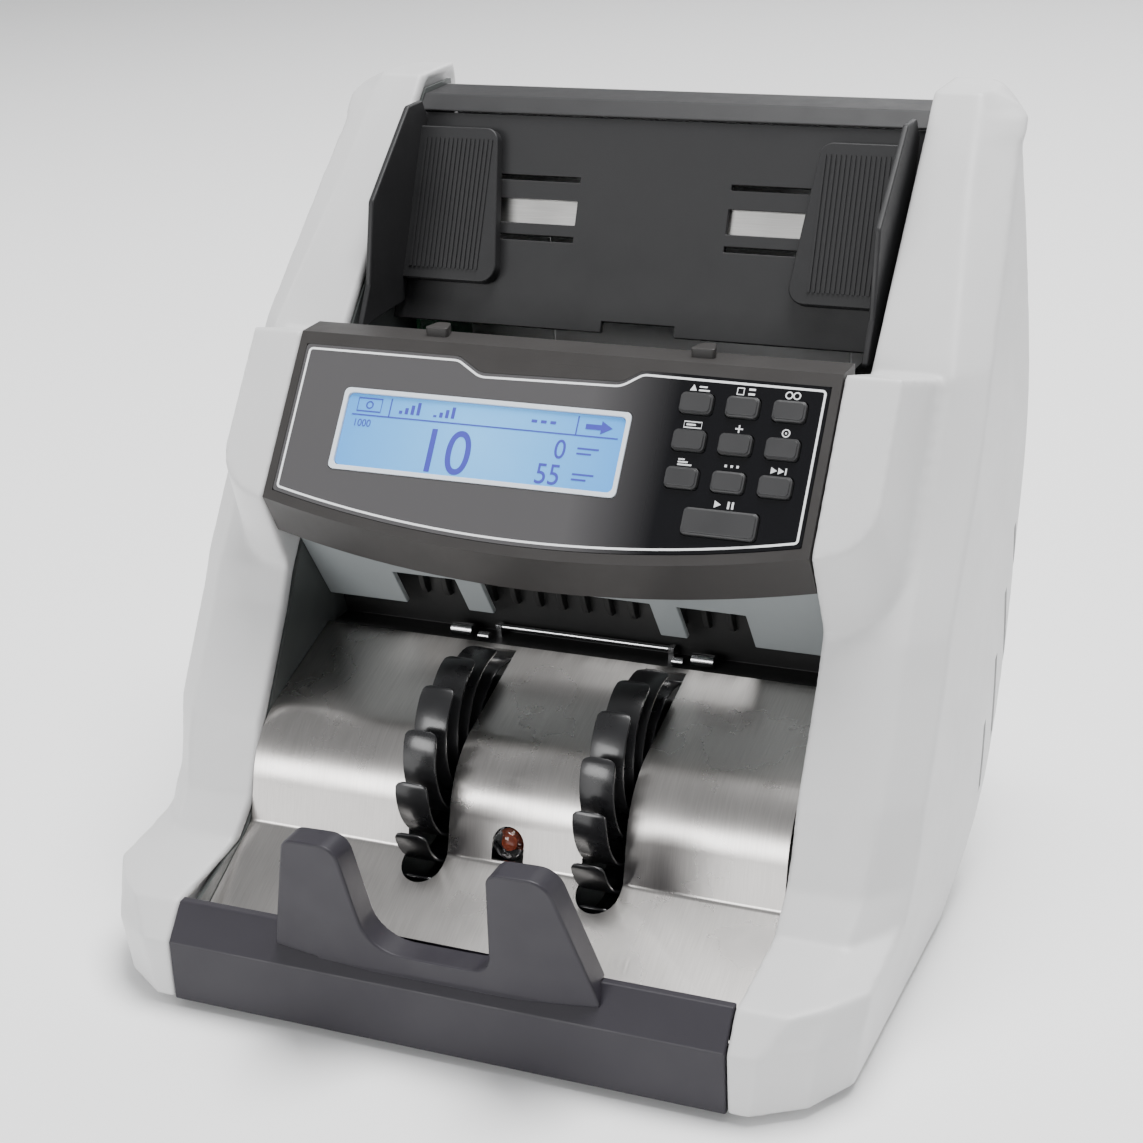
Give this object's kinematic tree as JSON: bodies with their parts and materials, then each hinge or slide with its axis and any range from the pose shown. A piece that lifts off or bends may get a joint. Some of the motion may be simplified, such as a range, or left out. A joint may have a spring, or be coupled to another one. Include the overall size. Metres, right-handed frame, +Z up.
{
  "type": "banknote counter",
  "caption": "Desktop banknote counter: sloping hopper with sliding guides, keypad console with display, transport rollers, bladed stacker wheels and a curved steel delivery pocket.",
  "frame": {"origin": "bottom centre of the whole machine, on the surface the feet rest on", "axes": "+Z up, front (operator's side) towards -Y, +X to the operator's right"},
  "size_m": [0.274, 0.263, 0.2705],
  "materials": {
    "pale_shell": "fine-textured warm white moulding",
    "charcoal_shell": "fine-textured charcoal moulding",
    "grey_shell": "smooth mid-grey moulding",
    "hopper_black": "satin black moulding",
    "blade_black": "glossy black elastomer blade",
    "dark_steel": "dark painted sheet steel",
    "stainless": "brushed up the slope",
    "shaft_steel": "ground and polished",
    "motor_steel": "zinc-plated can",
    "bush_bronze": "sintered bronze",
    "overlay_film": "glossy printed film, grey fading to black",
    "lcd_white": "white printed border",
    "lcd_glass": "backlit blue display",
    "key_rubber": "satin silicone key",
    "roller_rubber": "ground black rubber",
    "roller_grey": "turned plastic pinch roller",
    "belt_rubber": "toothed black belt",
    "foot_rubber": "soft black rubber",
    "board_green": "green solder mask",
    "clear_lens": "clear moulded sensor window",
    "inlet_black": "black moulded socket"
  },
  "bodies": {
    "root": {"base_pan": "dark_steel", "rubber_feet": "foot_rubber", "side_cover_left": "pale_shell", "side_cover_right": "pale_shell", "side_frame_left": "dark_steel", "side_frame_right": "dark_steel", "front_skirt": "charcoal_shell", "stop_plate": "charcoal_shell", "stacker_plate": "stainless", "sensor_lens": "clear_lens", "stacker_motor": "motor_steel", "stacker_belt": "belt_rubber", "console_housing": "charcoal_shell", "overlay_panel": "overlay_film", "lcd_frame": "lcd_white", "lcd_window": "lcd_glass", "display_board": "board_green", "duct_panel": "grey_shell", "exit_guide": "blade_black", "exit_pins": "shaft_steel", "hopper_plate": "hopper_black", "hopper_cap": "hopper_black", "slide_rails": "stainless", "separator_roller": "roller_rubber", "main_motor": "motor_steel", "drive_belts": "belt_rubber", "bearings": "bush_bronze", "main_board": "board_green", "power_supply": "motor_steel", "rear_cover": "pale_shell", "door_pin": "shaft_steel", "power_inlet": "inlet_black", "cover_screws": "shaft_steel"},
    "stacker": {"stacker_shaft": "shaft_steel", "stacker_wheel_left": "blade_black", "stacker_wheel_right": "blade_black"},
    "stacker_drive": {"stacker_motor_rotor": "shaft_steel"},
    "feed": {"feed_shaft": "shaft_steel", "feed_rollers": "roller_rubber"},
    "upper": {"upper_shaft": "shaft_steel", "upper_rollers": "roller_rubber"},
    "lower": {"lower_shaft": "shaft_steel", "lower_rollers": "roller_rubber"},
    "pinch_upper": {"pinch_roller_upper": "roller_grey"},
    "pinch_lower": {"pinch_roller_lower": "roller_grey"},
    "motor_rotor": {"main_motor_rotor": "shaft_steel"},
    "guide_left": {"guide_left": "hopper_black"},
    "guide_right": {"guide_right": "hopper_black"},
    "jam_door": {"jam_door": "pale_shell"},
    "switch_rocker": {"switch_rocker": "inlet_black"},
    "key_1": {"key_1": "key_rubber"},
    "key_2": {"key_2": "key_rubber"},
    "key_3": {"key_3": "key_rubber"},
    "key_4": {"key_4": "key_rubber"},
    "key_5": {"key_5": "key_rubber"},
    "key_6": {"key_6": "key_rubber"},
    "key_7": {"key_7": "key_rubber"},
    "key_8": {"key_8": "key_rubber"},
    "key_9": {"key_9": "key_rubber"},
    "key_run": {"key_run": "key_rubber"}
  },
  "joints": [
    {"name": "stacker_spin", "type": "hinge", "parent": "root", "child": "stacker", "pos_m": [0, -0.03548, 0.0525], "axis": [1, 0, 0], "continuous": true},
    {"name": "stacker_motor_spin", "type": "hinge", "parent": "root", "child": "stacker_drive", "pos_m": [0, 0.02952, 0.031], "axis": [1, 0, 0], "continuous": true},
    {"name": "lower_spin", "type": "hinge", "parent": "root", "child": "lower", "pos_m": [0, 0.03152, 0.111], "axis": [1, 0, 0], "continuous": true},
    {"name": "upper_spin", "type": "hinge", "parent": "root", "child": "upper", "pos_m": [0, 0.04352, 0.141], "axis": [1, 0, 0], "continuous": true},
    {"name": "feed_spin", "type": "hinge", "parent": "root", "child": "feed", "pos_m": [0, 0.05752, 0.17], "axis": [1, 0, 0], "continuous": true},
    {"name": "main_motor_spin", "type": "hinge", "parent": "root", "child": "motor_rotor", "pos_m": [0, 0.07852, 0.098], "axis": [1, 0, 0], "continuous": true},
    {"name": "pinch_upper_spin", "type": "hinge", "parent": "root", "child": "pinch_upper", "pos_m": [0, 0.02602, 0.1494], "axis": [1, 0, 0], "continuous": true},
    {"name": "pinch_lower_spin", "type": "hinge", "parent": "root", "child": "pinch_lower", "pos_m": [0, 0.01402, 0.1194], "axis": [1, 0, 0], "continuous": true},
    {"name": "key_1_press", "type": "slide", "parent": "root", "child": "key_1", "axis": [0, 0.7965, -0.6046], "range_m": [0, 0.0012], "stiffness_N_per_m": 300, "springref_m": -0.0015},
    {"name": "key_2_press", "type": "slide", "parent": "root", "child": "key_2", "axis": [0, 0.7965, -0.6046], "range_m": [0, 0.0012], "stiffness_N_per_m": 300, "springref_m": -0.0015},
    {"name": "key_3_press", "type": "slide", "parent": "root", "child": "key_3", "axis": [0, 0.7965, -0.6046], "range_m": [0, 0.0012], "stiffness_N_per_m": 300, "springref_m": -0.0015},
    {"name": "key_4_press", "type": "slide", "parent": "root", "child": "key_4", "axis": [0, 0.7965, -0.6046], "range_m": [0, 0.0012], "stiffness_N_per_m": 300, "springref_m": -0.0015},
    {"name": "key_5_press", "type": "slide", "parent": "root", "child": "key_5", "axis": [0, 0.7965, -0.6046], "range_m": [0, 0.0012], "stiffness_N_per_m": 300, "springref_m": -0.0015},
    {"name": "key_6_press", "type": "slide", "parent": "root", "child": "key_6", "axis": [0, 0.7965, -0.6046], "range_m": [0, 0.0012], "stiffness_N_per_m": 300, "springref_m": -0.0015},
    {"name": "key_7_press", "type": "slide", "parent": "root", "child": "key_7", "axis": [0, 0.7965, -0.6046], "range_m": [0, 0.0012], "stiffness_N_per_m": 300, "springref_m": -0.0015},
    {"name": "key_8_press", "type": "slide", "parent": "root", "child": "key_8", "axis": [0, 0.7965, -0.6046], "range_m": [0, 0.0012], "stiffness_N_per_m": 300, "springref_m": -0.0015},
    {"name": "key_9_press", "type": "slide", "parent": "root", "child": "key_9", "axis": [0, 0.7965, -0.6046], "range_m": [0, 0.0012], "stiffness_N_per_m": 300, "springref_m": -0.0015},
    {"name": "key_run_press", "type": "slide", "parent": "root", "child": "key_run", "axis": [0, 0.7965, -0.6046], "range_m": [0, 0.0012], "stiffness_N_per_m": 300, "springref_m": -0.0015},
    {"name": "guide_left_slide", "type": "slide", "parent": "root", "child": "guide_left", "axis": [1, 0, 0], "range_m": [0, 0.024]},
    {"name": "guide_right_slide", "type": "slide", "parent": "root", "child": "guide_right", "axis": [-1, 0, 0], "range_m": [0, 0.024]},
    {"name": "jam_door_hinge", "type": "hinge", "parent": "root", "child": "jam_door", "pos_m": [0, 0.12827, 0.1345], "axis": [-1, 0, 0], "range_deg": [0, 80]},
    {"name": "power_switch", "type": "hinge", "parent": "root", "child": "switch_rocker", "pos_m": [0.08, 0.12552, 0.193], "axis": [-1, 0, 0], "range_deg": [0, 14]}
  ],
  "couplings": [
    {"joint": "stacker_motor_spin", "follows": "stacker_spin", "ratio": 1},
    {"joint": "upper_spin", "follows": "lower_spin", "ratio": 1},
    {"joint": "feed_spin", "follows": "lower_spin", "ratio": 1},
    {"joint": "main_motor_spin", "follows": "lower_spin", "ratio": 1},
    {"joint": "pinch_upper_spin", "follows": "lower_spin", "ratio": -1.7143},
    {"joint": "pinch_lower_spin", "follows": "lower_spin", "ratio": -1.7143}
  ]
}
